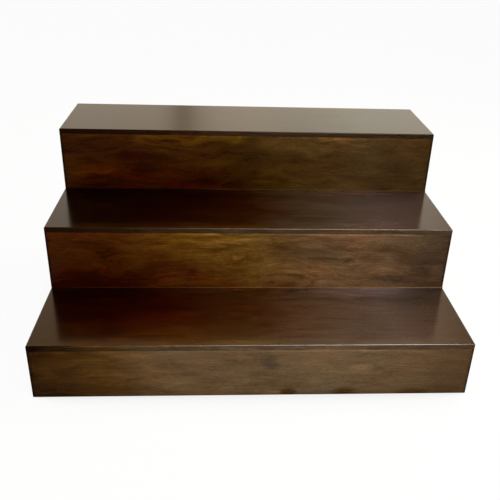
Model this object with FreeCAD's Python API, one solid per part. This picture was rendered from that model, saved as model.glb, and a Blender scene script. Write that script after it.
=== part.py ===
# Three-tier display stand in stained wood, standing on the floor or on a counter.
#
# Frame: millimetres, X across the width, Y from the front to the back, +Z up.
# The origin is on the floor, under the middle of the stand.
#
# Construction: three treads and three risers are tongued together on stepped sides. Each side is
# built up of three boards, edge to edge on loose splines. Square posts and cleats are glued into the
# inner corners and screwed from inside, so that no fastener shows in front. A ledger, housed in the
# sides, carries each lower tread's back edge and the foot of the next riser. The back and the
# underside are open, with two rails tenoned between the back posts.

import FreeCAD, Part
import os

Vector = FreeCAD.Vector

# ---------------------------------------------------------------- driving sizes

width = 914.0            # over the ends of treads and risers
tread_depth = 229.0      # clear depth of each tread, riser face to riser face
bottom_rise = 127.0      # floor to the top of the bottom tread
upper_rise = 152.0       # each further step up

tread_board = 12.0       # thickness of the treads
riser_board = 12.0       # thickness of the risers
side_board = 12.0        # thickness of the sides
edge_round = 3.0         # roundover on the show edges, in front and at the ends

tongue_thick = 4.0       # tongues that join treads and risers
tongue_reach = 3.5
tongue_stop = 25.0       # a tongue ends this far inside the board's ends, out of sight
spline_thick = 4.0       # loose splines in the edge joints of the sides
spline_width = 14.0
spline_stop = 20.0       # a spline ends this far inside the joint's ends
groove_play = 0.15       # clearance round a tongue, spline or tenon

batten = 19.0            # square stock of the posts and cleats
ledger_height = 38.0
bearing_depth = 13.0     # how far a ledger reaches under the tread in front of it
housing_depth = 4.0      # how far a ledger's end is let into the side

rail_thick = 19.0        # rails across the back
rail_height = 45.0
tenon_thick = 8.0        # stub tenons on the rails' ends
tenon_length = 12.0
tenon_shoulder = 7.5     # above and below a tenon

block_leg = 19.0         # triangular glue blocks behind the risers, under the treads
block_length = 60.0
block_pitch = 225.0

screw_diameter = 3.5
head_diameter = 7.5      # pan head, bearing on the face of the post or cleat
head_height = 2.2
screw_play = 0.1         # radial clearance of a screw's hole
tip_cover = 4.0          # wood left between a screw's point and the show face
screw_inset = 45.0       # from a cleat's end to its screw

cut_over = 1.0           # a cutting shape starts this far outside the wood

# ---------------------------------------------------------------- derived places

tiers = ("bottom", "middle", "top")
levels = ("lower", "middle", "upper")     # the boards of a side, from the floor up
hands = {"left": -1, "right": 1}
last = len(tiers) - 1

end = width / 2
inner = end - side_board                  # inner face of a side
back = len(tiers) * tread_depth / 2
front = -back
screw_length = batten + min(tread_board, riser_board) - tip_cover


def tier_front(k):
    return front + k * tread_depth


def tier_top(k):
    return bottom_rise + k * upper_rise


def under_tread(k):
    return tier_top(k) - tread_board


def riser_foot(k):
    return 0.0 if k == 0 else under_tread(k - 1)


def behind_riser(k):
    return tier_front(k) + riser_board


def ledger_front(k):
    return tier_front(k + 1) - bearing_depth


# ---------------------------------------------------------------- helpers

pieces = {}       # node name: solid
hollows = {}      # node name: shapes to cut out of it
groups = {}       # node name: solids of a group of like pieces


def box(x, y, z):
    """A block between the two values of each axis."""
    size = [high - low for low, high in (x, y, z)]
    return Part.makeBox(*size, Vector(x[0], y[0], z[0]))


def about(middle, thickness, play=0.0):
    """The range of a thickness laid evenly about a middle."""
    half = thickness / 2 + play
    return (middle - half, middle + half)


def on_hand(hand, low, high):
    """An X range on the right-hand side, or its mirror image on the left."""
    return (low, high) if hand > 0 else (-high, -low)


def hollow(solid, *names):
    for name in names:
        hollows.setdefault(name, []).append(solid)


def same(a, b):
    return abs(a - b) < 1e-6


def upright(bounds):
    return same(bounds.XLength, 0) and same(bounds.YLength, 0)


def rounded(solid, wanted):
    """The solid with the edges whose bounds pass the test rounded over."""
    return solid.makeFillet(edge_round, [edge for edge in solid.Edges if wanted(edge.BoundBox)])


def drive_screw(group, head, direction, through, into):
    """A pan-head screw whose head bears on a face at a point, and its hole in both pieces of wood."""
    radius = screw_diameter / 2
    shank = Part.makeCylinder(radius, screw_length, head, direction)
    cap = Part.makeCylinder(head_diameter / 2, head_height, head, -direction)
    groups.setdefault(group, []).append(shank.fuse(cap))
    hole = Part.makeCylinder(radius + screw_play, screw_length + screw_play + cut_over,
                             head - direction * cut_over, direction)
    hollow(hole, through, into)


# ---------------------------------------------------------------- show boards


def tongue(y, z):
    """A stopped tongue along X, or the groove that takes it."""
    reach = end - tongue_stop
    return box((-reach, reach), y, z)


def tread(k):
    """A tread, tongued into the riser behind it if one stands there."""
    y = (tier_front(k), tier_front(k + 1))
    z = (under_tread(k), tier_top(k))

    def show_edge(bounds):
        at_back = same(bounds.YMin, y[1])
        return not at_back and (upright(bounds) or same(bounds.ZMin, z[1]))

    board = rounded(box((-end, end), y, z), show_edge)
    if k == last:
        return board
    middle = (z[0] + z[1]) / 2
    tip = y[1] + tongue_reach
    hollow(tongue((y[1] - cut_over, tip + groove_play), about(middle, tongue_thick, groove_play)),
           tiers[k + 1] + "_riser")
    return board.fuse(tongue((y[1], tip), about(middle, tongue_thick)))


def riser(k):
    """A riser, flush with the tread's front edge and tongued up into it."""
    y = (tier_front(k), behind_riser(k))
    z = (riser_foot(k), under_tread(k))
    board = rounded(box((-end, end), y, z), lambda bounds: upright(bounds) and same(bounds.YMin, y[0]))
    middle = (y[0] + y[1]) / 2
    tip = z[1] + tongue_reach
    hollow(tongue(about(middle, tongue_thick, groove_play), (z[1] - cut_over, tip + groove_play)),
           tiers[k] + "_tread")
    return board.fuse(tongue(about(middle, tongue_thick), (z[1], tip)))


def side(k, hand):
    """One board of a stepped side, from behind its riser to the back."""
    return box(on_hand(hand, inner, end), (behind_riser(k), back), (riser_foot(k), under_tread(k)))


for k, tier in enumerate(tiers):
    pieces[tier + "_tread"] = tread(k)
    pieces[tier + "_riser"] = riser(k)

for name, hand in hands.items():
    for k, level in enumerate(levels):
        pieces[name + "_side_" + level] = side(k, hand)

# Loose splines between the boards of each side.
for name, hand in hands.items():
    for k in range(last):
        x = (inner + end) / 2 * hand
        y = (behind_riser(k + 1) + spline_stop, back - spline_stop)
        joint = under_tread(k)
        pieces[name + "_" + levels[k] + "_spline"] = box(
            about(x, spline_thick), y, about(joint, spline_width))
        groove = box(about(x, spline_thick, groove_play), (y[0] - groove_play, y[1] + groove_play),
                     about(joint, spline_width, groove_play))
        hollow(groove, name + "_side_" + levels[k], name + "_side_" + levels[k + 1])

# ---------------------------------------------------------------- carcass inside

# A ledger stands under each lower tread's back edge and carries the next riser.
for k in range(last):
    y = (ledger_front(k), behind_riser(k + 1))
    z = (under_tread(k) - ledger_height, under_tread(k))
    reach = inner + housing_depth
    pieces[tiers[k] + "_ledger"] = box((groove_play - reach, reach - groove_play), y, z)
    for name, hand in hands.items():
        housing = box(on_hand(hand, inner - cut_over, reach), (y[0] - groove_play, y[1] + groove_play),
                      (z[0], z[1] + cut_over))
        hollow(housing, name + "_side_" + levels[k])

# Posts stand behind each riser's ends and in the back corners, and reach up to the treads.
post_fronts = [behind_riser(k) for k in range(last + 1)] + [back - batten]
for name, hand in hands.items():
    post_x = on_hand(hand, inner - batten, inner)
    middle_x = (inner - batten / 2) * hand
    for place, y in zip(tiers + ("back",), post_fronts):
        top = under_tread(last if place == "back" else tiers.index(place))
        pieces[name + "_" + place + "_post"] = box(post_x, (y, y + batten), (0, top))

    for k, tier in enumerate(tiers):
        # One screw through the post pulls the riser up tight.
        half_way = (riser_foot(k) + under_tread(k)) / 2
        drive_screw("riser_screws", Vector(middle_x, behind_riser(k) + batten, half_way),
                    Vector(0, -1, 0), name + "_" + tier + "_post", tier + "_riser")

        # A cleat fills the corner under the tread's end, and two screws through it hold the tread.
        y = (post_fronts[k] + batten, ledger_front(k) if k < last else back - batten)
        z = (under_tread(k) - batten, under_tread(k))
        cleat = name + "_" + tier + "_cleat"
        pieces[cleat] = box(post_x, y, z)
        for screw_y in (y[0] + screw_inset, y[1] - screw_inset):
            drive_screw("tread_screws", Vector(middle_x, screw_y, z[0]), Vector(0, 0, 1),
                        cleat, tier + "_tread")

# Triangular blocks are rubbed into the corner between each riser and its tread.
for k, tier in enumerate(tiers):
    corner = Vector(0, behind_riser(k), under_tread(k))
    rear = corner + Vector(0, block_leg, 0)
    foot = corner - Vector(0, 0, block_leg)
    section = Part.Face(Part.makePolygon([corner, rear, foot, corner]))
    block = section.extrude(Vector(block_length, 0, 0))
    places = [i * block_pitch - block_length / 2 for i in (-1, 0, 1)]
    groups[tier + "_glue_blocks"] = [block.translated(Vector(x, 0, 0)) for x in places]

# Rails across the open back, with a stub tenon at each end.
rail_end = inner - batten
tenon_y = about(back - rail_thick / 2, tenon_thick)
mortise_y = about(back - rail_thick / 2, tenon_thick, groove_play)
for rail, foot in (("back_foot_rail", 0.0), ("back_top_rail", under_tread(last) - rail_height)):
    head = foot + rail_height
    tenon_z = (foot + tenon_shoulder, head - tenon_shoulder)
    body = box((-rail_end, rail_end), (back - rail_thick, back), (foot, head))
    reach = rail_end + tenon_length
    pieces[rail] = body.fuse(box((-reach, reach), tenon_y, tenon_z))
    for name, hand in hands.items():
        mortise = box(on_hand(hand, rail_end - cut_over, reach + groove_play), mortise_y,
                      (tenon_z[0] - groove_play, tenon_z[1] + groove_play))
        hollow(mortise, name + "_back_post")

# ---------------------------------------------------------------- output

os.makedirs("parts", exist_ok=True)

for name, solid in pieces.items():
    if name in hollows:
        solid = solid.cut(hollows[name])
    solid.removeSplitter().exportStep("parts/" + name + ".step")

for name, group in groups.items():
    Part.makeCompound(group).exportStep("parts/" + name + ".step")

print(len(pieces), "boards and battens, and", {name: len(group) for name, group in groups.items()})
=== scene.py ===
import math

import bmesh
import bpy
from mathutils import Matrix, Vector


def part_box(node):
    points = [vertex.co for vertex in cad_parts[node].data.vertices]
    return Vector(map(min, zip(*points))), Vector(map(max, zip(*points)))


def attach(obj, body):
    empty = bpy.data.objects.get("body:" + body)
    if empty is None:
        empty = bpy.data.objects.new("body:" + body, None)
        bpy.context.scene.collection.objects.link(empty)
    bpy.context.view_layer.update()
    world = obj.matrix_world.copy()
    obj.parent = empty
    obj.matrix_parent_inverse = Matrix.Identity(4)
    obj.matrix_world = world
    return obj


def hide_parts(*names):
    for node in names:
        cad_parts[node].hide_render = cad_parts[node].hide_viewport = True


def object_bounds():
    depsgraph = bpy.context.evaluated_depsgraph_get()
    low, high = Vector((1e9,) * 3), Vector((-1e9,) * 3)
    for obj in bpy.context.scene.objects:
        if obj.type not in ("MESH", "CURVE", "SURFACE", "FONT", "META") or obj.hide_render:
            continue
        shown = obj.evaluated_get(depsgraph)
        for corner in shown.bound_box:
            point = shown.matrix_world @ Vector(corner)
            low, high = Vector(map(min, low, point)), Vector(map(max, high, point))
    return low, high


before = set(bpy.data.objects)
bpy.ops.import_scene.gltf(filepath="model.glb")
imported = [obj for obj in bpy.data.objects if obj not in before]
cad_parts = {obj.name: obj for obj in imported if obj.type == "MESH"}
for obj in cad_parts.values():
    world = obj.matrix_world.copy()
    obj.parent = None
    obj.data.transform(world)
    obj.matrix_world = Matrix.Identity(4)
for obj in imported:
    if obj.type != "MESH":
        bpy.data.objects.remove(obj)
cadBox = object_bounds()
print("frame loaded:", len(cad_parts), "nodes")


def linear(hexColour):
    # an sRGB hex value as the linear colour that a shader takes
    channels = [int(hexColour[i:i + 2], 16) / 255 for i in (1, 3, 5)]
    return tuple(c / 12.92 if c <= 0.04045 else ((c + 0.055) / 1.055) ** 2.4 for c in channels) + (1.0,)


def addNode(tree, kind, settings=None, links=None):
    # a key that is a socket's name or number sets the socket, "stops" fills a colour ramp, and any
    # other key sets the node's own option. in links a node stands for its first output
    node = tree.nodes.new("ShaderNode" + kind)
    for key, value in (settings or {}).items():
        if key == "stops":
            ramp = node.color_ramp.elements
            while len(ramp) < len(value):
                ramp.new(0.5)
            for element, (place, colour) in zip(ramp, value):
                element.position = place
            for element, (place, colour) in zip(ramp, value):
                element.color = colour
        elif isinstance(key, int) or key in node.inputs:
            node.inputs[key].default_value = value
        else:
            setattr(node, key, value)
    for key, source in (links or {}).items():
        tree.links.new(source.outputs[0] if isinstance(source, bpy.types.Node) else source, node.inputs[key])
    return node


# settings that many nodes share: one colour times another, and a fade without hard ends
multiply = {"data_type": "RGBA", "blend_type": "MULTIPLY", 0: 1.0}
softly = {"interpolation_type": "SMOOTHSTEP"}


def newMaterial(name):
    material = bpy.data.materials.new(name)
    material.use_nodes = True
    material.node_tree.nodes.clear()
    return material, material.node_tree


def setMode(mode):
    bpy.ops.object.mode_set(mode=mode)


def deselectAll():
    if bpy.context.object and bpy.context.object.mode != "OBJECT":
        setMode("OBJECT")
    bpy.ops.object.select_all(action="DESELECT")


def makeActive(piece):
    deselectAll()
    piece.select_set(True)
    bpy.context.view_layer.objects.active = piece


def pick(kind, wanted):
    # selects the edges or faces of the mesh in edit mode that pass the test
    bpy.ops.mesh.select_mode(type=kind)
    bpy.ops.mesh.select_all(action="DESELECT")
    mesh = bpy.context.edit_object.data
    shape = bmesh.from_edit_mesh(mesh)
    for item in shape.edges if kind == "EDGE" else shape.faces:
        if wanted(item):
            item.select_set(True)
    shape.select_flush_mode()
    bmesh.update_edit_mesh(mesh)


def middle(item):
    # half way along an edge
    return (item.verts[0].co + item.verts[1].co) / 2


def near(a, b, slack=1e-5):
    return abs(a - b) < slack


def runsAlong(item, axis):
    # whether an edge runs along x (0), y (1) or z (2)
    a, b = item.verts[0].co, item.verts[1].co
    return all(near(a[i], b[i]) for i in range(3) if i != axis)


def newBlock(name, low, high):
    deselectAll()
    bpy.ops.mesh.primitive_cube_add(size=1, location=(low + high) / 2, scale=high - low)
    block = bpy.context.object
    block.name = block.data.name = name
    bpy.ops.object.transform_apply()
    return block


def copyOf(piece):
    makeActive(piece)
    bpy.ops.object.duplicate()
    return bpy.context.object


def joinAll(pieces):
    deselectAll()
    for piece in pieces:
        piece.select_set(True)
    bpy.context.view_layer.objects.active = pieces[0]
    bpy.ops.object.join()
    return pieces[0]


def applyModifier(piece, kind, options):
    makeActive(piece)
    modifier = piece.modifiers.new(kind.lower(), kind)
    for key, value in options.items():
        setattr(modifier, key, value)
    bpy.ops.object.modifier_apply(modifier=modifier.name)


def combine(piece, operation, other):
    # joins a second solid to the piece or takes it out of it, and uses it up
    applyModifier(piece, "BOOLEAN", {"operation": operation, "solver": "EXACT", "object": other})
    bpy.data.objects.remove(other)


def cutWith(piece, operation, low, high):
    # one rectangular cut or addition, its corners at low and high
    combine(piece, operation, newBlock("cutter", Vector(low), Vector(high)))


def sawOff(piece, place, way):
    # saws through the piece and takes away what lies past the cut
    makeActive(piece)
    setMode("EDIT")
    bpy.ops.mesh.select_all(action="SELECT")
    bpy.ops.mesh.bisect(plane_co=place, plane_no=way, use_fill=True, clear_outer=True)
    setMode("OBJECT")


def bevelEdges(piece, wanted, width, segments):
    makeActive(piece)
    setMode("EDIT")
    pick("EDGE", wanted)
    bpy.ops.mesh.bevel(offset=width, segments=segments, clamp_overlap=True)
    setMode("OBJECT")


def giveFinish(piece, outside, others):
    # outside finish all over, and each other finish on the faces that pass its test
    piece.data.materials.append(outside)
    makeActive(piece)
    setMode("EDIT")
    for slot, (finish, wanted) in enumerate(others, start=1):
        piece.data.materials.append(finish)
        pick("FACE", wanted)
        piece.active_material_index = slot
        bpy.ops.object.material_slot_assign()
    setMode("OBJECT")


def smooth(piece, degrees=35, weight=60):
    # flat faces stay flat beside their rounded edges
    makeActive(piece)
    bpy.ops.object.shade_smooth_by_angle(angle=math.radians(degrees))
    applyModifier(piece, "WEIGHTED_NORMAL", {"keep_sharp": True, "weight": weight})


def setOnBody(piece, slotName, *nodes):
    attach(piece, "root")
    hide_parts(*nodes)


# place in metres, turns in degrees, lens and sensor in millimetres
cameraView = {"place": (-0.0748, -1.4277, 0.9096), "yaw": 4.124, "pitch": 27.237, "roll": 2.139,
              "lens": 47.14, "sensor": 36.0, "shift": (-0.0212, -0.0046), "farthest": 100}


def makeCamera(view):
    deselectAll()
    bpy.ops.object.camera_add(location=view["place"])
    camera = bpy.context.object
    camera.name = "camera"
    camera.data.sensor_width = view["sensor"]
    camera.data.lens = view["lens"]
    camera.data.shift_x, camera.data.shift_y = view["shift"]
    camera.data.clip_end = view["farthest"]
    turn = (Matrix.Rotation(-math.radians(view["yaw"]), 4, "Z")
            @ Matrix.Rotation(math.radians(90 - view["pitch"]), 4, "X")
            @ Matrix.Rotation(math.radians(view["roll"]), 4, "Z"))
    camera.matrix_world = Matrix.Translation(view["place"]) @ turn
    bpy.context.scene.camera = camera


makeCamera(cameraView)

studio = {
    "floorSize": 40.0, "floorCuts": 3, "floorColour": "#f4f4f2",
    "floorShow": 0.965,                     # share of drawn white in the floor that the camera sees
    # how far the stand shades the floor, how open the floor is where the shadow is deepest and where
    # it ends, and the light left at its deepest
    "shadowReach": 0.4, "shadowCover": (0.05, 0.66), "shadowLevel": 0.22, "shadowSamples": 16,
    # the floor in reflections: its strength at the stand and away from it, and where it fades
    "mirrored": (0.05, 0.02), "mirroredFade": (0.0, 0.22),
    "ambient": 0.16, "ambientColour": "#fff4e6",
    # the wall behind the stand from left to right, by the sine of its bearing
    "wall": ((-0.30, "#ebdac4"), (-0.078, "#ecdac2"), (-0.055, "#9c886c"), (-0.028, "#e8d6ba"),
             (0.0, "#f6e4c8"), (0.15, "#f4e4ce"), (0.20, "#f6e8d0"), (0.31, "#fdf0da"), (0.36, "#c4b49c")),
    # the same wall from low to high, by the sine of its height
    "rise": ((0.40, "#ffffff"), (0.50, "#f6dec4"), (0.60, "#e0c09c"), (0.70, "#8c7862"), (0.82, "#3a3632")),
    "wallLevel": 1.12, "room": "#24201c",
    "wallFade": (-0.15, 0.3),               # where the room gives way to the wall, from front to back
    "lights": {
        # name: place, aims at, size, watts, colour, spread in degrees, only mirrored in the lacquer
        "rear_softbox": ((1.0, 0.7, 2.0), (0.2, 0.0, 0.2), (0.9, 0.9), 42, "#fff4e6", 180, False),
        "front_softbox": ((1.35, -1.5, 1.25), (0.1, -0.1, 0.15), (0.9, 0.9), 38, "#fff0dd", 180, False),
        "left_softbox": ((-1.5, -1.8, 1.6), (-0.1, -0.1, 0.2), (1.4, 1.2), 6, "#fff2e2", 180, False),
        "top_strip": ((0.36, -0.85, 2.1), (-0.30, -0.85, 0.13), (1.6, 1.0), 14.7, "#f8faf6", 54, True),
    },
}


def seenDirectly(tree):
    # 1 for what the camera, a reflection or glass sees, 0 for light that bounces
    path = addNode(tree, "LightPath")
    seen = addNode(tree, "Math", {"operation": "ADD"},
                   {0: path.outputs["Is Camera Ray"], 1: path.outputs["Is Glossy Ray"]})
    seen = addNode(tree, "Math", {"operation": "ADD", "use_clamp": True},
                   {0: seen, 1: path.outputs["Is Transmission Ray"]})
    return path, seen


def makeFloor(values):
    deselectAll()
    bpy.ops.mesh.primitive_plane_add(size=values["floorSize"], location=(0, 0, 0))
    floor = bpy.context.object
    floor.name = "studio_floor"
    setMode("EDIT")
    bpy.ops.mesh.subdivide(number_cuts=values["floorCuts"])
    setMode("OBJECT")
    paper, tree = newMaterial("white paper floor")
    path, seen = seenDirectly(tree)
    lit = addNode(tree, "BsdfDiffuse", {"Color": linear(values["floorColour"])})
    # the lamps are too soft for a plain shadow: it is drawn from how far the stand covers the floor
    cover = addNode(tree, "AmbientOcclusion",
                    {"samples": values["shadowSamples"], "Distance": values["shadowReach"]})
    dark, light = values["shadowCover"]
    shadow = addNode(tree, "MapRange", {**softly, 1: dark, 2: light, 3: values["shadowLevel"]},
                     {0: cover.outputs["AO"]})
    glow = addNode(tree, "Emission", {"Color": (1, 1, 1, 1)}, {"Strength": shadow})
    share = addNode(tree, "Math", {"operation": "MULTIPLY", 1: values["floorShow"]}, {0: seen})
    shown = addNode(tree, "MixShader", {}, {0: share, 1: lit, 2: glow})
    # in reflections the paper is pale round the stand and falls off into the dim room
    coords = addNode(tree, "TexCoord")
    spot = addNode(tree, "VectorMath", {"operation": "ABSOLUTE"}, {0: coords.outputs["Object"]})
    outside = addNode(tree, "VectorMath", {"operation": "SUBTRACT", 1: (cadBox[1].x, cadBox[1].y, 0.0)},
                      {0: spot})
    clear = addNode(tree, "VectorMath", {"operation": "MAXIMUM", 1: (0, 0, 0)}, {0: outside})
    away = addNode(tree, "VectorMath", {"operation": "LENGTH"}, {0: clear})
    (nearby, far), (fadeFrom, fadeTo) = values["mirrored"], values["mirroredFade"]
    fall = addNode(tree, "MapRange", {**softly, 1: fadeFrom, 2: fadeTo, 3: nearby, 4: far},
                   {0: away.outputs["Value"]})
    mirrored = addNode(tree, "Emission", {"Color": linear(values["floorColour"])}, {"Strength": fall})
    both = addNode(tree, "MixShader", {}, {0: path.outputs["Is Glossy Ray"], 1: shown, 2: mirrored})
    addNode(tree, "OutputMaterial", {}, {"Surface": both})
    floor.data.materials.append(paper)


def makeWorld(values):
    # a pale wall behind the stand, a dim ceiling, and a dim room in front of it
    world = bpy.data.worlds.new("studio")
    bpy.context.scene.world = world
    world.use_nodes = True
    tree = world.node_tree
    tree.nodes.clear()
    path, seen = seenDirectly(tree)
    way = addNode(tree, "TexCoord")
    axes = addNode(tree, "SeparateXYZ", {}, {0: way.outputs["Generated"]})
    across = addNode(tree, "Math", {"operation": "ADD", 1: 0.5}, {0: axes.outputs["X"]})
    wall = addNode(tree, "ValToRGB",
                   {"stops": [(0.5 + place, linear(tone)) for place, tone in values["wall"]]}, {0: across})
    rise = addNode(tree, "ValToRGB", {"stops": [(place, linear(tone)) for place, tone in values["rise"]]},
                   {0: axes.outputs["Z"]})
    wall = addNode(tree, "Mix", multiply, {6: wall, 7: rise})
    wall = addNode(tree, "VectorMath", {"operation": "SCALE", "Scale": values["wallLevel"]},
                   {0: wall.outputs[2]})
    front, back = values["wallFade"]
    behind = addNode(tree, "MapRange", {**softly, 1: front, 2: back}, {0: axes.outputs["Y"]})
    around = addNode(tree, "Mix", {"data_type": "RGBA", 6: linear(values["room"])}, {0: behind, 7: wall})
    shown = addNode(tree, "Mix", {"data_type": "RGBA", 7: (1, 1, 1, 1)},
                    {0: path.outputs["Is Camera Ray"], 6: around.outputs[2]})
    background = addNode(tree, "Background", {"Strength": 1.0}, {"Color": shown.outputs[2]})
    ambient = addNode(tree, "Background",
                      {"Color": linear(values["ambientColour"]), "Strength": values["ambient"]})
    both = addNode(tree, "MixShader", {}, {0: seen, 1: ambient, 2: background})
    addNode(tree, "OutputWorld", {}, {"Surface": both})


def makeLights(values):
    for name, (place, target, size, watts, colour, spread, mirrored) in values["lights"].items():
        deselectAll()
        bpy.ops.object.light_add(type="AREA", location=place)
        light = bpy.context.object
        light.name = name
        light.data.shape = "RECTANGLE"
        light.data.size, light.data.size_y = size
        light.data.energy = watts
        light.data.color = linear(colour)[:3]
        light.data.spread = math.radians(spread)
        light.visible_camera = False
        light.visible_diffuse = not mirrored
        light.visible_glossy = mirrored
        light.rotation_euler = (Vector(target) - Vector(place)).to_track_quat("-Z", "X").to_euler()


makeFloor(studio)
makeWorld(studio)
makeLights(studio)
bpy.context.scene.view_settings.view_transform = "Standard"
print("camera and studio ready")

usualNoise = (0.3, 0.7)       # most values of a noise lie between these

# maple under a walnut-coloured stain that takes unevenly, then a satin lacquer:
# brown that wanders from red to olive, with a clear and slightly blurred reflection over it
stain = {
    "lacquerRoughness": 0.16, "lacquerIor": 1.52, "woodRoughness": 0.5, "woodIor": 1.5,
    "ends": (-0.457, 0.457),                # a long board's ends, metres
    "sway": (0.30, 0.08, 3.0, 0.55),        # slow bends: wavelength and shift in metres, detail, roughness
    # layers of figure: length along the grain, width across it, detail, roughness, distortion.
    # fibre and pores are too fine to show, so both are drawn several times as coarse as they are
    "layers": {"cloud": (0.12, 0.034, 5.0, 0.58, 0.9), "streak": (0.085, 0.009, 4.0, 0.6, 0.3),
               "thread": (0.065, 0.0024, 3.0, 0.6, 0.25), "fibre": (0.06, 0.0014, 2.0, 0.5, 0.0),
               "pores": (0.007, 0.004, 2.0, 0.6, 0.0)},
    "fibreShow": 0.15, "poresShow": 0.12,
    "threadSpan": (0.52, 0.72), "threadDark": 0.15, "threadLight": 2.0,   # noise that makes a pale thread
    # half of what the stain leaves: dark and reddish where it took, paler where it did not
    "taken": ((0.0, (0.20, 0.13, 0.10, 1)), (0.5, (0.5, 0.5, 0.5, 1)), (1.0, (0.80, 0.87, 0.92, 1))),
    "drift": 0.16,                          # how far the clouds push the tones along the board, metres
    # the two ways the stain leans, in patches, and the noise between which it changes over
    "warm": (1.08, 0.94, 0.82, 1), "olive": (0.94, 1.06, 1.08, 1), "leanSpan": (0.36, 0.64),
    # what a mark does to the tone under it
    "tints": {"red": (0.64, 0.24, 0.30), "dark": (0.48, 0.40, 0.36), "grey": (0.70, 0.71, 0.78),
              # pale is the stain's paler patches, and in places painted light that lifts shade
              "pale": (1.34, 1.30, 1.26), "gold": (1.25, 1.15, 0.75), "amber": (1.65, 2.4, 0.9),
              # a pale, cool haze: painted reflection on the lacquer
              "honey": (1.35, 1.5, 1.0), "milkySheen": (1.45, 1.5, 1.7), "wine": (0.95, 0.22, 0.30),
              # a dark, yellowed patch along a riser's foot: painted shadow where the riser meets the floor
              "footShadow": (0.50, 0.36, 0.12), "ash": (0.62, 0.69, 0.93), "russet": (1.0, 0.70, 0.65),
              # a pale, cool line along an edge: partly wear and partly painted highlight
              "wornAndHighlight": (1.55, 1.60, 1.9), "rim": (0.40, 0.36, 0.34)},
    # rim, the last tint above: painted shade at a riser's rounded ends
    "crisp": ("wornAndHighlight", "rim", "footShadow", "ash"),    # marks whose outline isn't pulled about
    # how far the others' outlines are pulled, how ragged their ends are, and where a mark is full
    "markPull": (0.05, 0.02, 0.02), "ragged": 0.65, "markFull": 0.75,
    "bump": (0.2, 0.0004),                  # strength and height of the fibre under the lacquer
}


def grainLayers(tree, source, layers):
    # noises drawn out along the grain, by name
    made = {}
    for name, (long, wide, detail, rough, twist) in layers.items():
        way = addNode(tree, "Mapping", {"Scale": (1 / long, 1 / wide, 1 / wide)}, {"Vector": source})
        made[name] = addNode(tree, "TexNoise",
                             {"Scale": 1.0, "Detail": detail, "Roughness": rough, "Distortion": twist},
                             {"Vector": way})
    return made


def softSpot(tree, source, x, over, long, high, upright):
    # an ellipse that fades from 1 in the middle to 0 at its rim, on an upright or a level board
    if upright:
        centre, scale = (-x / long, 0, -over / high), (1 / long, 0, 1 / high)
    else:
        centre, scale = (-x / long, -over / high, 0), (1 / long, 1 / high, 0)
    local = addNode(tree, "Mapping", {"Location": centre, "Scale": scale}, {"Vector": source})
    swell = addNode(tree, "TexGradient", {"gradient_type": "SPHERICAL"}, {"Vector": local})
    return local, swell.outputs[1]


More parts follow.
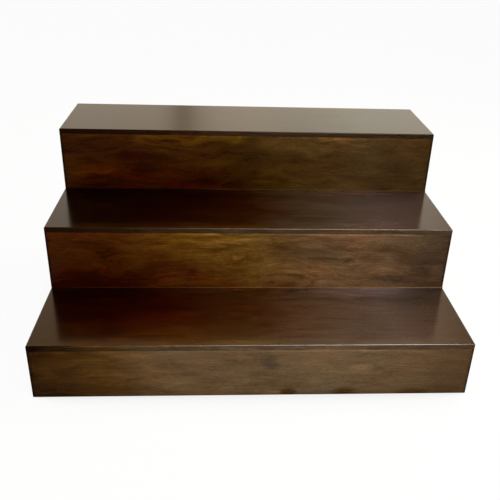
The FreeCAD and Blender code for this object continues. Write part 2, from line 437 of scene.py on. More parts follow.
def stainedWood(name, grain, look, values):
    material, tree = newMaterial(name)
    coords = addNode(tree, "TexCoord")
    # the grain runs along x of this system, z stays up
    place = addNode(tree, "Mapping", {"Rotation": (0, 0, grain)}, {"Vector": coords.outputs["Object"]})
    upright = look.get("upright", True)
    wood = place
    for x, over, long, high, push in look.get("knots", ()):
        # the grain parts round a knot
        local, swell = softSpot(tree, place, x, over, long, high, upright)
        pull = addNode(tree, "VectorMath", {"operation": "MULTIPLY", 1: (0.0, -high * push, -high * push)},
                       {0: local})
        pull = addNode(tree, "VectorMath", {"operation": "SCALE"}, {0: pull, "Scale": swell})
        wood = addNode(tree, "VectorMath", {"operation": "ADD"}, {0: wood, 1: pull})
    shifted = addNode(tree, "VectorMath", {"operation": "ADD", 1: look["offset"]}, {0: wood})
    wavelength, bend, detail, rough = values["sway"]
    bend *= look.get("sway", 1.0)
    sway = addNode(tree, "TexNoise", {"Scale": 1 / wavelength, "Detail": detail, "Roughness": rough},
                   {"Vector": shifted})
    centred = addNode(tree, "VectorMath", {"operation": "SUBTRACT", 1: (0.5, 0.5, 0.5)},
                      {0: sway.outputs["Color"]})
    shift = addNode(tree, "VectorMath", {"operation": "MULTIPLY", 1: (0.0, bend, bend)}, {0: centred})
    swayed = addNode(tree, "VectorMath", {"operation": "ADD"}, {0: shifted, 1: shift})
    layers = grainLayers(tree, swayed, values["layers"])

    # how strongly the figure shows, from one end of the board to the other
    axes = addNode(tree, "SeparateXYZ", {}, {0: place})
    left, right = look.get("ends", values["ends"])
    leftShow, rightShow = look["contrast"]
    mixed = addNode(tree, "Mix", {0: look["streaky"]}, {2: layers["cloud"], 3: layers["streak"]})
    strength = addNode(tree, "MapRange", {1: left, 2: right, 3: 2 * leftShow, 4: 2 * rightShow},
                       {0: axes.outputs["X"]})
    swing = addNode(tree, "Math", {"operation": "SUBTRACT", 1: 0.5}, {0: mixed})
    spread = addNode(tree, "Math", {"operation": "MULTIPLY_ADD", 2: 0.5}, {0: swing, 1: strength})
    taken = addNode(tree, "ValToRGB", {"stops": values["taken"]}, {0: spread})
    taken = addNode(tree, "VectorMath", {"operation": "SCALE", "Scale": 2.0}, {0: taken})

    # the stain's own tone changes slowly from one end of the board to the other
    drift = addNode(tree, "Math", {"operation": "MULTIPLY_ADD", 1: values["drift"]},
                    {0: layers["cloud"], 2: axes.outputs["X"]})
    along = addNode(tree, "MapRange", {1: left + values["drift"] / 2, 2: right + values["drift"] / 2},
                    {0: drift})
    last = len(look["tones"]) - 1
    tone = addNode(tree, "ValToRGB", {"stops": [(i / last, linear(t)) for i, t in enumerate(look["tones"])]},
                   {0: along})
    colour = addNode(tree, "Mix", multiply, {6: tone, 7: taken}).outputs[2]
    low, high = values["leanSpan"]
    lean = addNode(tree, "SeparateColor", {}, {0: sway.outputs["Color"]})
    lean = addNode(tree, "MapRange", {1: low, 2: high}, {0: lean})
    lean = addNode(tree, "Mix", {"data_type": "RGBA", 6: values["warm"], 7: values["olive"]}, {0: lean})
    colour = addNode(tree, "Mix", multiply, {6: colour, 7: lean.outputs[2]}).outputs[2]

    # stain gathers or rubs off in marks with ragged ends, and the same marks paint shade, shadow, highlight
    # and reflection
    low, high = usualNoise
    tear = look.get("ragged", values["ragged"])
    ragged = addNode(tree, "MapRange", {1: low, 2: high, 3: 1 - tear, 4: 1 + tear}, {0: layers["streak"]})
    pulled = addNode(tree, "VectorMath", {"operation": "MULTIPLY_ADD", 1: values["markPull"]},
                     {0: centred, 2: place})
    for tint, spots in look.get("marks", {}).items():
        source = place if tint in values["crisp"] else pulled
        tinted = {**multiply, 7: values["tints"][tint] + (1.0,)}
        for x, over, long, wide, amount in spots:
            local, swell = softSpot(tree, source, x, over, long, wide, upright)
            edged = addNode(tree, "Math", {"operation": "MULTIPLY"}, {0: swell, 1: ragged})
            share = addNode(tree, "MapRange", {**softly, 1: 0.0, 2: values["markFull"], 4: amount},
                            {0: edged})
            colour = addNode(tree, "Mix", tinted, {0: share, 6: colour}).outputs[2]

    # fine pale threads of figure, then the fibre and the pores
    threadLow, threadHigh = values["threadSpan"]
    fine = addNode(tree, "MapRange",
                   {1: threadLow, 2: threadHigh, 3: 1 - look["threads"] * values["threadDark"],
                    4: 1 + look["threads"] * values["threadLight"]}, {0: layers["thread"]})
    fibreShow = values["fibreShow"] * look.get("fibre", 1.0)
    for layer, show in (("fibre", fibreShow), ("pores", values["poresShow"])):
        factor = addNode(tree, "MapRange", {1: low, 2: high, 3: 1 - show, 4: 1 + show}, {0: layers[layer]})
        fine = addNode(tree, "Math", {"operation": "MULTIPLY"}, {0: fine, 1: factor})
    colour = addNode(tree, "Mix", multiply, {6: colour, 7: fine}).outputs[2]
    relief, depth = values["bump"]
    bump = addNode(tree, "Bump", {"Strength": relief, "Distance": depth}, {"Height": layers["fibre"]})
    # only the lacquer reflects: the wood under it has no shine of its own
    surface = addNode(tree, "BsdfPrincipled",
                      {"Roughness": values["woodRoughness"], "IOR": values["woodIor"],
                       "Specular IOR Level": 0.0, "Coat Weight": look.get("gloss", 1.0),
                       "Coat Roughness": values["lacquerRoughness"], "Coat IOR": values["lacquerIor"]},
                      {"Base Color": colour, "Normal": bump})
    addNode(tree, "OutputMaterial", {}, {"Surface": surface})
    return material


# planed maple and birch, left without a finish inside: pale, close and dull, with faint growth rings
bare = {
    "early": "#d8bf97", "late": "#c8a67a", "fibre": "#94714a",
    "roughness": 0.68, "ior": 1.5, "specular": 0.4,
    # layers as in the stained wood; the fibre is drawn coarser than it is
    "layers": {"figure": (0.55, 0.050, 1.5, 0.35, 0.0), "cloud": (0.30, 0.030, 4.0, 0.5, 0.0),
               "fibre": (1 / 10, 1 / 700, 3.0, 0.5, 0.0)},
    "rings": 13.0, "ringSpan": (-0.3, 1.0), "ringShow": 0.85,    # rings in the figure, where late wood shows
    "cloudShow": 0.12, "fibreSpan": (0.55, 0.8), "fibreShow": 0.55,
    "bump": (0.35, 0.0003),
}


def bareWood(name, grain, offset, values):
    material, tree = newMaterial(name)
    coords = addNode(tree, "TexCoord")
    place = addNode(tree, "Mapping", {"Location": offset, "Rotation": grain},
                    {"Vector": coords.outputs["Object"]})
    layers = grainLayers(tree, place, values["layers"])
    # growth rings run along the contours of a slow noise, so they close into long ovals
    turns = addNode(tree, "Math", {"operation": "MULTIPLY", 1: 2 * math.pi * values["rings"]},
                    {0: layers["figure"]})
    rings = addNode(tree, "Math", {"operation": "SINE"}, {0: turns})
    low, high = values["ringSpan"]
    late = addNode(tree, "MapRange", {1: low, 2: high, 3: 0.0, 4: values["ringShow"]}, {0: rings})
    colour = addNode(tree, "Mix",
                     {"data_type": "RGBA", 6: linear(values["early"]), 7: linear(values["late"])}, {0: late})
    low, high = usualNoise
    shade = addNode(tree, "MapRange",
                    {1: low, 2: high, 3: 1 - values["cloudShow"], 4: 1 + values["cloudShow"]},
                    {0: layers["cloud"]})
    colour = addNode(tree, "VectorMath", {"operation": "SCALE"}, {0: colour.outputs[2], "Scale": shade})
    low, high = values["fibreSpan"]
    lines = addNode(tree, "MapRange", {1: low, 2: high, 3: 0.0, 4: values["fibreShow"]}, {0: layers["fibre"]})
    mixed = addNode(tree, "Mix", {"data_type": "RGBA", 7: linear(values["fibre"])}, {0: lines, 6: colour})
    relief, depth = values["bump"]
    bump = addNode(tree, "Bump", {"Strength": relief, "Distance": depth}, {"Height": layers["fibre"]})
    surface = addNode(tree, "BsdfPrincipled",
                      {"Roughness": values["roughness"], "IOR": values["ior"],
                       "Specular IOR Level": values["specular"]},
                      {"Base Color": mixed.outputs[2], "Normal": bump})
    addNode(tree, "OutputMaterial", {}, {"Surface": surface})
    return material


# bright zinc plate on pressed steel: a cool grey metal with a slightly uneven bloom
zinc = {"light": "#c9cbc8", "dull": "#9a9c98", "bloomSize": 0.0025, "bloomSpan": (0.35, 0.65),
        "roughness": (0.46, 0.26)}      # where the bloom is dull and where it is light


def zincPlate(name, values):
    material, tree = newMaterial(name)
    coords = addNode(tree, "TexCoord")
    bloom = addNode(tree, "TexNoise", {"Scale": 1 / values["bloomSize"], "Detail": 3.0},
                    {"Vector": coords.outputs["Object"]})
    low, high = values["bloomSpan"]
    colour = addNode(tree, "ValToRGB",
                     {"stops": [(low, linear(values["dull"])), (high, linear(values["light"]))]}, {0: bloom})
    dull, light = values["roughness"]
    rough = addNode(tree, "MapRange", {3: dull, 4: light}, {0: bloom})
    surface = addNode(tree, "BsdfPrincipled", {"Metallic": 1.0}, {"Base Color": colour, "Roughness": rough})
    addNode(tree, "OutputMaterial", {}, {"Surface": surface})
    return material


def cutFrom(values, index):
    # each piece comes from another place in the board, so no two show the same grain
    return tuple(start + index * step for start, step in zip(values["grainStart"], values["grainStep"]))


alongX, alongY, alongZ = (0.0, 0.0, 0.0), (0.0, 0.0, math.pi / 2), (0.0, math.pi / 2, 0.0)
tiers = ("bottom", "middle", "top")
levels = ("lower", "middle", "upper")     # the boards of a side, from the floor up
hands = {"left": -1, "right": 1}

bareInside = bareWood("bare maple inside", alongX, (0.4, 0.11, 0.07), bare)
bareSide = bareWood("bare maple side inside", alongY, (0.2, 0.31, 0.17), bare)

# what every board's joints and edges share, in metres, as the wood is cut
joint = {
    "tongue": 0.004, "tongueReach": 0.0035, "tongueStop": 0.025, "play": 0.00015,
    "splineThick": 0.004, "housing": 0.004,
    "over": 0.001,                      # a cut starts this far outside the wood
}
edge = {
    "round": 0.003, "roundSegments": 6, "eased": 0.0006, "easedSegments": 2,
    "seam": 0.0010,                     # the eased edge between a tread and the riser under it
    "square": 0.9, "turned": 0.35,      # how squarely a board's face looks out, and its rounded edge
}

# treads are plain straight-grained boards, deep red-brown at the left and greyer at the right.
# contrast: how much figure shows at the left and right end. tones: the stain from left to right.
# knots: x, y, half length, half width, parting of the grain.
# marks by kind: x, y, half length, half width, how strong
treadLooks = {
    "bottom": {
        "offset": (1.3, 0.7, 0.4), "contrast": (1.5, 0.15), "threads": 0.03, "ragged": 0.3, "fibre": 0.6,
        "tones": ("#160700", "#240a00", "#331602", "#38220e", "#46362a", "#4a3d37", "#30241b"),
        "knots": ((-0.035, -0.1345, 0.035, 0.012, 0.5),),
        "marks": {
            "dark": ((-0.29, -0.125, 0.05, 0.014, 0.7), (-0.035, -0.1345, 0.018, 0.006, 0.8),
                (0.015, -0.272, 0.035, 0.014, 0.4), (0.128, -0.128, 0.006, 0.006, 0.7),
                (-0.06, -0.235, 0.26, 0.075, 0.4), (-0.38, -0.235, 0.14, 0.04, 0.9),
                (-0.22, -0.27, 0.09, 0.016, 0.4)),
            "red": ((-0.2, -0.2, 0.12, 0.03, 0.5), (-0.13, -0.24, 0.06, 0.012, 0.5),
                (-0.3, -0.16, 0.28, 0.1, 1.0), (-0.06, -0.2, 0.22, 0.06, 0.45)),
            "grey": ((0.09, -0.131, 0.03, 0.008, 0.8),),
            "gold": ((-0.02, -0.21, 0.1, 0.035, 0.5), (0.02, -0.137, 0.08, 0.03, 1.0),
                (-0.05, -0.275, 0.07, 0.022, 0.6)),
            "amber": ((-0.24, -0.35, 0.38, 0.062, 1.0),),
            # the pale haze over the right of the tread: painted reflection
            "milkySheen": ((0.24, -0.112, 0.24, 0.05, 1.0), (0.25, -0.13, 0.26, 0.045, 0.9),
                (0.27, -0.135, 0.16, 0.04, 0.7), (0.22, -0.185, 0.16, 0.045, 0.3)),
            "honey": ((-0.15, -0.125, 0.2, 0.03, 0.5), (-0.37, -0.272, 0.06, 0.02, 0.7)),
            "pale": ((0.0, -0.335, 0.1, 0.03, 0.6), (-0.08, -0.118, 0.16, 0.02, 0.5)),
            "wine": ((-0.25, -0.24, 0.2, 0.05, 0.6), (-0.33, -0.19, 0.22, 0.09, 1.0)),
        },
    },
    "middle": {
        "offset": (4.4, 0.9, 1.7), "contrast": (1.2, 0.25), "threads": 0.03, "ragged": 0.4, "fibre": 0.7,
        "tones": ("#080100", "#0c0200", "#160301", "#261001", "#382a1f", "#453632", "#342723"),
        "marks": {
            # the large dark marks towards the back of the left, under the riser above: painted shade
            "dark": ((-0.33, 0.11, 0.26, 0.085, 1.0), (-0.37, 0.11, 0.14, 0.04, 1.0),
                (-0.25, 0.03, 0.24, 0.07, 0.5)),
            "red": ((-0.24, 0.04, 0.34, 0.13, 0.9), (0.0, -0.01, 0.18, 0.07, 0.45)),
            "amber": ((-0.22, -0.12, 0.34, 0.055, 1.0), (-0.27, -0.118, 0.26, 0.055, 1.0)),
            # the pale marks near the back, under the riser above: painted light that lifts the shade there
            "pale": ((0.2, 0.112, 0.24, 0.045, 0.9), (0.15, 0.098, 0.38, 0.05, 1.0),
                (0.12, 0.106, 0.34, 0.04, 0.7), (0.2, -0.112, 0.18, 0.05, 0.4),
                (0.18, 0.104, 0.36, 0.036, 0.7), (0.18, -0.1, 0.34, 0.055, 0.35)),
            "honey": ((0.0, -0.112, 0.1, 0.04, 0.6), (-0.36, -0.112, 0.16, 0.035, 0.9),
                (-0.3, -0.112, 0.12, 0.035, 0.6)),
            # a pale haze at the front: painted reflection
            "milkySheen": ((-0.033, -0.11, 0.06, 0.04, 1.0),),
        },
    },
    "top": {
        "offset": (7.5, 0.2, 3.0), "contrast": (0.4, 0.4), "threads": 0.04,
        "tones": ("#24160c", "#26180e", "#291b12", "#3e352d", "#37362f", "#484640", "#3f3d3a"),
    },
}
flatBoard = {"upright": False, "sway": 0.15, "streaky": 0.5}
# the show edges of all boards took more stain
edgeLook = {"offset": (9.1, 0.5, 2.3), "contrast": (0.9, 0.9), "streaky": 0.7, "threads": 0.2}
edgeTones = {"bottom": ("#140602", "#3f290e", "#4c3f2f", "#504235", "#5c4d3d", "#453c31", "#40352c"),
             "middle": ("#200e02", "#281606", "#3c2a1a", "#413425", "#4b3b2d", "#46392a", "#3e3328"),
             "top": ("#200e02", "#200f02", "#2e1e0c", "#33281a", "#392c1b", "#342818", "#281c10")}
# pale lines along the top of a tread's front edge: painted highlight, with a little wear
edgeMarks = {
    "bottom": {"wornAndHighlight": ((-0.24, 0.1262, 0.2, 0.0034, 1.0), (-0.33, 0.1262, 0.05, 0.003, 0.7))},
    "middle": {"wornAndHighlight": ((0.44, 0.2782, 0.05, 0.003, 0.6),)},
}


def makeTread(index, values, cuts):
    tier = tiers[index]
    name = tier + "_tread"
    low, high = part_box(name)
    isTop = index == len(tiers) - 1
    if not isTop:
        high.y -= cuts["tongueReach"]
    piece = newBlock(name + "_board", low, high)

    def showEdge(item):
        spot = middle(item)
        return not near(spot.y, high.y) and (runsAlong(item, 2) or near(spot.z, high.z))

    def seamEdge(item):
        return near(middle(item).z, low.z) and near(middle(item).y, low.y)

    def hiddenEdge(item):
        spot = middle(item)
        return (near(spot.z, low.z) or near(spot.y, high.y)) and not seamEdge(item)

    bevelEdges(piece, showEdge, values["round"], values["roundSegments"])
    bevelEdges(piece, seamEdge, values["seam"], values["easedSegments"])
    bevelEdges(piece, hiddenEdge, values["eased"], values["easedSegments"])
    reach = high.x - cuts["tongueStop"]
    half = cuts["tongue"] / 2
    level = (low.z + high.z) / 2
    if not isTop:
        cutWith(piece, "UNION", (-reach, high.y - cuts["over"], level - half),
                (reach, high.y + cuts["tongueReach"], level + half))
    riserLow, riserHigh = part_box(tier + "_riser")
    groove = (riserLow.y + riserHigh.y) / 2
    half += cuts["play"]
    cutWith(piece, "DIFFERENCE", (-reach, groove - half, low.z - cuts["over"]),
            (reach, groove + half, low.z + cuts["tongueReach"] + cuts["play"]))
    return piece


showEdges = {tier: stainedWood(tier + " show edges, stained maple in satin lacquer", 0.0,
                               dict(edgeLook, tones=edgeTones[tier], marks=edgeMarks.get(tier, {})), stain)
             for tier in tiers}
square, turned = edge["square"], edge["turned"]
for index, tier in enumerate(tiers):
    piece = makeTread(index, edge, joint)
    show = stainedWood(tier + " tread, stained maple in satin lacquer", 0.0,
                       dict(treadLooks[tier], **flatBoard), stain)
    giveFinish(piece, show, (
        (bareInside, lambda face: face.normal.z < -square),
        (showEdges[tier], lambda face: face.normal.y < -turned or abs(face.normal.x) > turned)))
    smooth(piece)
    setOnBody(piece, "stained_tread", tier + "_tread")
print("treads made")

# risers are flame-figured boards, reddish at the left, golden in the middle, olive at the right.
# looks as on the treads, with z in place of y
riserLooks = {
    "bottom": {
        "offset": (5.2, 0.2, 0.3), "sway": 0.4, "fibre": 0.55, "contrast": (0.85, 0.6), "streaky": 0.35,
        "threads": 0.15,
        "tones": ("#331a00", "#513916", "#67513a", "#5a503e", "#63513c", "#5c4935", "#473926"),
        "marks": {
            "pale": ((-0.265, 0.097, 0.07, 0.014, 0.5), (0.229, 0.067, 0.045, 0.012, 0.4),
                (0.0, 0.043, 0.045, 0.01, 0.4), (-0.137, 0.035, 0.045, 0.012, 0.35),
                (-0.2, 0.055, 0.08, 0.03, 0.4), (-0.245, 0.112, 0.09, 0.02, 0.7),
                (0.26, 0.115, 0.18, 0.02, 0.55), (-0.033, 0.112, 0.04, 0.018, 0.6),
                (0.02, 0.012, 0.045, 0.02, 0.9), (-0.033, 0.062, 0.035, 0.018, 0.6),
                (0.229, 0.066, 0.035, 0.02, 0.6)),
            "gold": ((-0.375, 0.1, 0.06, 0.025, 0.5),),
            # the dark marks low along the foot: painted shadow where the riser meets the floor
            "dark": ((-0.39, 0.02, 0.12, 0.028, 0.5), (0.4, 0.012, 0.06, 0.022, 0.5),
                (0.1, 0.0, 0.5, 0.012, 0.35)),
            "red": ((-0.4, 0.002, 0.04, 0.01, 0.7),),
            "ash": ((0.034, 0.082, 0.024, 0.03, 1.0),),
            # dark patches right at the foot: painted shadow where the riser meets the floor
            "footShadow": ((0.073, 0.0, 0.024, 0.024, 1.0), (0.196, 0.0, 0.042, 0.026, 1.0),
                (0.34, 0.0, 0.048, 0.022, 0.9), (-0.4, 0.001, 0.03, 0.012, 0.6)),
            "grey": ((0.4, 0.05, 0.08, 0.03, 0.5),),
            # dark lines at the ends: painted shade on the rounded corners
            "rim": ((-0.457, 0.06, 0.009, 0.3, 1.0), (0.457, 0.06, 0.009, 0.3, 1.0)),
            # a pale haze: painted reflection
            "milkySheen": ((-0.294, 0.052, 0.06, 0.03, 0.5),),
            # the pale line along the riser's top edge: wear and painted highlight
            "wornAndHighlight": ((0.05, 0.1135, 0.36, 0.0042, 0.5),),
        },
    },
    "middle": {
        "offset": (8.1, 0.4, 1.4), "contrast": (1.3, 1.12), "streaky": 0.38, "threads": 0.3,
        "tones": ("#401c01", "#441f00", "#583f12", "#624c20", "#644d36", "#5e4c39", "#402f23"),
        "knots": ((-0.03, 0.205, 0.1, 0.03, 0.9), (0.21, 0.198, 0.06, 0.018, 0.6)),
        "marks": {
            "red": ((-0.3, 0.115, 0.4, 0.095, 1.0), (-0.18, 0.175, 0.1, 0.025, 0.6),
                (-0.2, 0.165, 0.12, 0.03, 0.4)),
            "dark": ((-0.38, 0.126, 0.2, 0.026, 0.7), (-0.146, 0.17, 0.032, 0.01, 0.7),
                (-0.11, 0.2245, 0.045, 0.003, 0.6), (0.212, 0.1985, 0.034, 0.008, 0.9),
                (0.175, 0.203, 0.09, 0.005, 0.8), (0.395, 0.165, 0.05, 0.018, 0.4),
                (0.046, 0.138, 0.012, 0.006, 0.7), (0.142, 0.14, 0.008, 0.008, 0.6),
                (0.33, 0.225, 0.1, 0.03, 0.25), (0.065, 0.22, 0.075, 0.03, 0.6),
                (0.28, 0.203, 0.04, 0.016, 0.4), (0.033, 0.14, 0.035, 0.016, 0.35),
                (0.36, 0.203, 0.04, 0.022, 0.5), (0.065, 0.134, 0.06, 0.018, 0.5)),
            "honey": ((-0.2, 0.262, 0.26, 0.03, 0.6), (-0.29, 0.176, 0.12, 0.024, 0.8),
                (-0.098, 0.142, 0.05, 0.016, 1.0)),
            "gold": ((-0.42, 0.262, 0.12, 0.04, 0.8), (-0.19, 0.245, 0.14, 0.025, 0.4)),
            "grey": ((0.15, 0.217, 0.075, 0.024, 0.9), (0.13, 0.199, 0.04, 0.006, 0.7),
                (0.405, 0.195, 0.05, 0.045, 1.0), (0.326, 0.15, 0.075, 0.018, 0.9)),
            "pale": ((-0.02, 0.25, 0.11, 0.02, 0.5), (0.12, 0.165, 0.16, 0.016, 0.35),
                (0.02, 0.212, 0.06, 0.008, 0.4), (0.27, 0.262, 0.16, 0.014, 0.5),
                (0.163, 0.172, 0.045, 0.018, 1.0), (0.294, 0.172, 0.04, 0.018, 0.9),
                (0.15, 0.172, 0.12, 0.02, 0.6)),
            "russet": ((0.055, 0.132, 0.06, 0.016, 0.8), (-0.22, 0.203, 0.1, 0.022, 0.5)),
            # pale haze, strongest at the right end: painted reflection
            "milkySheen": ((0.43, 0.18, 0.03, 0.035, 0.6), (0.14, 0.142, 0.06, 0.016, 0.6),
                (-0.13, 0.268, 0.09, 0.016, 0.6), (-0.098, 0.233, 0.04, 0.02, 0.8),
                (0.19, 0.142, 0.08, 0.014, 0.6)),
            # dark lines at the ends: painted shade on the rounded corners
            "rim": ((-0.457, 0.19, 0.009, 0.3, 1.0), (0.457, 0.19, 0.009, 0.3, 1.0)),
            # the pale line along the riser's top edge: wear and painted highlight
            "wornAndHighlight": ((0.12, 0.2655, 0.42, 0.0045, 0.9),),
        },
    },
    "top": {
        "offset": (2.6, 0.1, 2.2), "contrast": (1.5, 1.0), "streaky": 0.28, "threads": 0.15,
        "tones": ("#361b00", "#371b00", "#402202", "#3e2b08", "#473518", "#45341c", "#3c2c13"),
        "marks": {
            "red": ((-0.283, 0.366, 0.1, 0.02, 0.8), (-0.265, 0.322, 0.05, 0.016, 0.6),
                (-0.155, 0.312, 0.22, 0.045, 0.5), (-0.16, 0.279, 0.3, 0.04, 0.9)),
            "dark": ((-0.385, 0.29, 0.08, 0.01, 0.9), (-0.105, 0.303, 0.028, 0.012, 0.8),
                (-0.037, 0.294, 0.045, 0.012, 0.8), (0.425, 0.3, 0.016, 0.008, 0.7),
                (0.0, 0.35, 0.06, 0.03, 0.3), (0.07, 0.345, 0.12, 0.05, 0.2)),
            "grey": ((0.0, 0.404, 0.035, 0.026, 0.8), (0.0, 0.361, 0.03, 0.016, 0.9),
                (0.247, 0.36, 0.08, 0.026, 0.7), (0.375, 0.346, 0.055, 0.036, 0.8)),
            "pale": ((0.219, 0.401, 0.1, 0.022, 0.4), (0.19, 0.424, 0.09, 0.026, 0.9),
                (0.23, 0.428, 0.12, 0.018, 0.8), (0.2, 0.386, 0.05, 0.018, 0.6),
                (0.44, 0.315, 0.05, 0.03, 0.6), (0.19, 0.42, 0.09, 0.026, 0.8),
                (0.3, 0.415, 0.16, 0.024, 0.6)),
            "gold": ((0.05, 0.314, 0.08, 0.026, 0.4), (-0.32, 0.4, 0.16, 0.018, 0.3),
                (-0.36, 0.328, 0.07, 0.018, 0.4)),
            "honey": ((-0.2, 0.42, 0.34, 0.048, 1.0), (-0.21, 0.412, 0.1, 0.045, 1.0),
                (-0.44, 0.324, 0.06, 0.03, 1.0), (0.05, 0.29, 0.09, 0.022, 1.0),
                (-0.2, 0.425, 0.13, 0.03, 0.8), (-0.25, 0.388, 0.09, 0.024, 0.9),
                (-0.39, 0.323, 0.07, 0.022, 1.0), (-0.43, 0.425, 0.12, 0.02, 0.7),
                (-0.165, 0.293, 0.05, 0.018, 1.0), (-0.4, 0.345, 0.1, 0.035, 0.4)),
            "russet": ((-0.28, 0.318, 0.2, 0.055, 0.9), (-0.36, 0.3, 0.12, 0.03, 0.8)),
            # a pale haze: painted reflection
            "milkySheen": ((-0.09, 0.428, 0.18, 0.022, 0.8),),
            # dark lines at the ends: painted shade on the rounded corners
            "rim": ((-0.457, 0.34, 0.009, 0.3, 1.0), (0.457, 0.34, 0.009, 0.3, 1.0)),
            # the pale line along the riser's top edge: wear and painted highlight
            "wornAndHighlight": ((0.16, 0.417, 0.36, 0.004, 0.5),),
        },
    },
}

# lacquer that pooled in the corner at a riser's foot, let a little into the board.
# lean: the way its slope faces before it is cut, slope: how far its faces look forwards and up
bead = {"leg": 0.0018, "into": 0.0004, "short": 0.024, "lean": (0, -0.616, 0.788), "slope": (0.3, 0.95)}
# the bead has no coat of its own, and its tones, paler than the riser's, stand in for its shine: painted
# highlight
beadLook = {"offset": (2.1, 0.9, 1.3), "contrast": (0.7, 0.7), "streaky": 0.5, "threads": 0.1, "gloss": 0.0}
beadHighlightTones = {"middle": ("#241002", "#2f1707", "#4a2d10", "#684928", "#654c33", "#745f46", "#665040"),
             "top": ("#120a04", "#130a04", "#1c1006", "#362818", "#4c3c2a", "#504232", "#44362a")}


def addBead(piece, low, high, values):
    leg, into = values["leg"], values["into"]
    strip = newBlock("bead", Vector((low.x + values["short"], low.y - leg, low.z)),
                     Vector((high.x - into, low.y + into, low.z + leg + into)))
    sawOff(strip, (0, low.y - leg, low.z + into), values["lean"])
    combine(piece, "UNION", strip)


def onBead(face, front, values):
    least, most = values["slope"]
    return (least < -face.normal.y < most and least < face.normal.z < most
            and face.calc_center_median().y < front)


def makeRiser(index, values, cuts):
    name = tiers[index] + "_riser"
    low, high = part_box(name)
    high.z -= cuts["tongueReach"]
    piece = newBlock(name + "_board", low, high)

    def frontEnd(item):
        return runsAlong(item, 2) and near(middle(item).y, low.y)

    def otherEdge(item):
        return not runsAlong(item, 2)

    bevelEdges(piece, frontEnd, values["round"], values["roundSegments"])
    bevelEdges(piece, otherEdge, values["eased"], values["easedSegments"])
    reach = high.x - cuts["tongueStop"]
    half = cuts["tongue"] / 2
    centre = (low.y + high.y) / 2
    cutWith(piece, "UNION", (-reach, centre - half, high.z - cuts["over"]),
            (reach, centre + half, high.z + cuts["tongueReach"]))
    if index > 0:
        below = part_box(tiers[index - 1] + "_tread")
        addBead(piece, Vector((low.x, low.y, below[1].z)), high, bead)
        level = (below[0].z + below[1].z) / 2
        half += cuts["play"]
        cutWith(piece, "DIFFERENCE", (-reach, low.y - cuts["over"], level - half),
                (reach, low.y + cuts["tongueReach"] + cuts["play"], level + half))
    return piece


# the bead's finish, whose pale tones paint its highlight
beadHighlightFinish = {tier: stainedWood("pooled lacquer at the foot of the " + tier + " riser", 0.0,
                                dict(beadLook, tones=tones), stain) for tier, tones in beadHighlightTones.items()}
for index, tier in enumerate(tiers):
    piece = makeRiser(index, edge, joint)
    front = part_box(tier + "_riser")[0].y
    show = stainedWood(tier + " riser, stained maple in satin lacquer", 0.0, riserLooks[tier], stain)
    giveFinish(piece, show, (
        (bareInside, lambda face: face.normal.y > square),
        (showEdges["top"], lambda face: abs(face.normal.x) > turned),
        (beadHighlightFinish.get(tier, show), lambda face: onBead(face, front, bead))))
    smooth(piece)
    setOnBody(piece, "stained_riser", tier + "_riser")
print("risers made")

sideLook = {"contrast": (0.8, 0.8), "ends": (-0.34, 0.34), "streaky": 0.5, "threads": 0.15, "sway": 0.5,
            "tones": ("#412e1a", "#4f3b25", "#45321e"), "grainStart": (3.0, 0.4, 0.0),
            "grainStep": (1.7, 0.0, 0.8)}


def makeSide(index, hand, values, cuts):
    name = hand + "_side_" + levels[index]
    low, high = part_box(name)
    out = hands[hand]
    piece = newBlock(name + "_board", low, high)
    bevelEdges(piece, lambda item: True, values["eased"], values["easedSegments"])
    centre = (low.x + high.x) / 2
    play = cuts["play"]
    half = cuts["splineThick"] / 2 + play
    joints = range(len(levels) - 1)
    for spline in (index - 1, index):
        if spline in joints:
            a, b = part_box(hand + "_" + levels[spline] + "_spline")
            cutWith(piece, "DIFFERENCE", (centre - half, a.y - play, a.z - play),
                    (centre + half, b.y + play, b.z + play))
    if index in joints:
        a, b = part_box(tiers[index] + "_ledger")
        inner = low.x if out > 0 else high.x
        ends = sorted((inner - out * cuts["over"], inner + out * cuts["housing"]))
        cutWith(piece, "DIFFERENCE", (ends[0], a.y - play, a.z), (ends[1], b.y + play, b.z + cuts["over"]))
    return piece


for hand, out in hands.items():
    for index, level in enumerate(levels):
        piece = makeSide(index, hand, edge, joint)
        x, y, z = cutFrom(sideLook, index)
        show = stainedWood(hand + " side " + level + ", stained maple in satin lacquer", math.pi / 2,
                           dict(sideLook, offset=(x, y + out, z)), stain)
        giveFinish(piece, show, ((bareSide, lambda face: face.normal.x * out < -square),))
        smooth(piece)
        setOnBody(piece, "stained_side", hand + "_side_" + level)
print("sides made")

# planed square stock of the posts, cleats, ledgers and rails
stock = {"eased": 0.0009, "segments": 2, "tenonThick": 0.008, "tenonLength": 0.012, "tenonShoulder": 0.0075,
         "grainStart": (0.0, 0.05, 0.04), "grainStep": (0.37, 0.013, 0.017)}


def makeBatten(name, values, cuts):
    low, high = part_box(name)
    isRail = name.endswith("_rail")
    length, shoulder, play = values["tenonLength"], values["tenonShoulder"], cuts["play"]
    if isRail:
        low.x += length
        high.x -= length
    piece = newBlock(name + "_batten", low, high)
    bevelEdges(piece, lambda item: True, values["eased"], values["segments"])
    half = values["tenonThick"] / 2
    centre = (low.y + high.y) / 2
    if isRail:
        cutWith(piece, "UNION", (low.x - length, centre - half, low.z + shoulder),
                (high.x + length, centre + half, high.z - shoulder))
    if name.endswith("_back_post"):
        for rail in ("back_foot_rail", "back_top_rail"):
            a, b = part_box(rail)
            cutWith(piece, "DIFFERENCE", (a.x - play, centre - half - play, a.z + shoulder - play),
                    (b.x + play, centre + half + play, b.z - shoulder + play))
    return piece


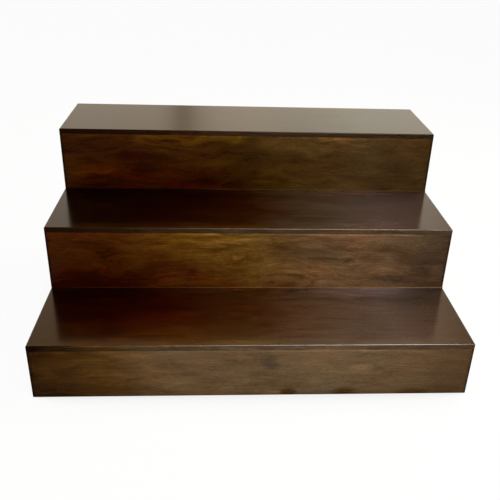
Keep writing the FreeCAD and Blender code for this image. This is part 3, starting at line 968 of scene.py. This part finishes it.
battens = [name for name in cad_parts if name.endswith(("_post", "_cleat", "_ledger", "_rail"))]
for index, name in enumerate(sorted(battens)):
    piece = makeBatten(name, stock, joint)
    way = alongZ if name.endswith("_post") else alongY if name.endswith("_cleat") else alongX
    piece.data.materials.append(bareWood("planed birch, " + name.replace("_", " "), way,
                                         cutFrom(stock, index), bare))
    smooth(piece)
    setOnBody(piece, "raw_batten", name)
print("battens made")

glueBlock = {"long": 0.060, "pitch": 0.225, "eased": 0.0008, "segments": 2,
             "grainStart": (0.0, 0.06, 0.03), "grainStep": (0.7, 0.0, 0.02)}


def makeGlueBlocks(tier, values):
    low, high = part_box(tier + "_glue_blocks")
    half = values["long"] / 2
    first = newBlock(tier + "_glue_block_set", Vector((-half, low.y, low.z)), Vector((half, high.y, high.z)))
    # sawn corner to corner, the half against the riser and the tread stays
    sawOff(first, (0, high.y, high.z), (0, 1, -1))
    bevelEdges(first, lambda item: True, values["eased"], values["segments"])
    blocks = [first]
    for step in (-1, 1):
        other = copyOf(first)
        other.location.x = step * values["pitch"]
        bpy.ops.object.transform_apply()
        blocks.append(other)
    return joinAll(blocks)


for index, tier in enumerate(tiers):
    piece = makeGlueBlocks(tier, glueBlock)
    piece.data.materials.append(bareWood("sawn birch, " + tier + " glue blocks", alongX,
                                         cutFrom(glueBlock, index), bare))
    smooth(piece)
    setOnBody(piece, "raw_batten", tier + "_glue_blocks")
print("glue blocks made")

# pan-head screws, a cross recess in a domed head. tip: the point's width to the shank's
screw = {"sides": 28, "shank": 0.00175, "long": 0.027, "head": 0.00375, "headHeight": 0.0022,
         "dome": 0.0011, "domeSegments": 4, "point": 0.005, "tip": 0.12, "smooth": 40,
         "slotLong": 0.0042, "slotWide": 0.0008, "slotDeep": 0.0013,
         "turn": 0.65,                      # from one head to the next
         "inset": 0.045}                    # from a cleat's end to its screw


def makeScrew(values, cuts):
    # head up, bearing face at z = 0, shank down
    top, point = values["headHeight"], values["point"]
    deselectAll()
    bpy.ops.mesh.primitive_cylinder_add(vertices=values["sides"], radius=values["head"], depth=top,
                                        location=(0, 0, top / 2))
    piece = bpy.context.object
    bpy.ops.object.transform_apply()
    bevelEdges(piece, lambda item: all(near(v.co.z, top) for v in item.verts), values["dome"],
               values["domeSegments"])
    setMode("EDIT")
    pick("FACE", lambda face: face.normal.z < -square)
    bpy.ops.mesh.inset(thickness=values["head"] - values["shank"])
    for reach in (point - values["long"], -point):
        bpy.ops.mesh.extrude_region_move(TRANSFORM_OT_translate={"value": (0, 0, reach)})
    bpy.ops.transform.resize(value=(values["tip"], values["tip"], 1.0))
    setMode("OBJECT")
    half, wide, foot = values["slotLong"] / 2, values["slotWide"] / 2, top - values["slotDeep"]
    for x, y in ((half, wide), (wide, half)):
        cutWith(piece, "DIFFERENCE", (-x, -y, foot), (x, y, top + cuts["over"]))
    smooth(piece, values["smooth"])
    return piece


def driveScrews(name, master, places, way, finish, values):
    copies = []
    for index, place in enumerate(places):
        copy = copyOf(master)
        turn = Matrix.Rotation(index * values["turn"], 4, "Z")
        copy.matrix_world = Matrix.Translation(place) @ way @ turn
        bpy.ops.object.transform_apply()
        copies.append(copy)
    piece = joinAll(copies)
    piece.name = piece.data.name = name + "_set"
    piece.data.materials.append(finish)
    setOnBody(piece, "zinc_screw", name)


master = makeScrew(screw, joint)
plated = zincPlate("bright zinc plate on steel screws", zinc)
riserPlaces, treadPlaces = [], []
for hand in hands:
    for tier in tiers:
        low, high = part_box(hand + "_" + tier + "_post")
        foot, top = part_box(tier + "_riser")
        halfWay = (foot.z + top.z - joint["tongueReach"]) / 2
        riserPlaces.append(Vector(((low.x + high.x) / 2, high.y, halfWay)))
        low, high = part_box(hand + "_" + tier + "_cleat")
        for y in (low.y + screw["inset"], high.y - screw["inset"]):
            treadPlaces.append(Vector(((low.x + high.x) / 2, y, low.z)))
driveScrews("riser_screws", master, riserPlaces, Matrix.Rotation(-math.pi / 2, 4, "X"), plated, screw)
driveScrews("tread_screws", master, treadPlaces, Matrix.Rotation(math.pi, 4, "X"), plated, screw)
bpy.data.objects.remove(master)
print("screws made")

# the loose splines stay as they were cut
splineWood = bareWood("birch plywood splines", alongY, (0.3, 0.21, 0.4), bare)
for name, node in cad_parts.items():
    if name.endswith("_spline"):
        node.data.materials.clear()
        node.data.materials.append(splineWood)
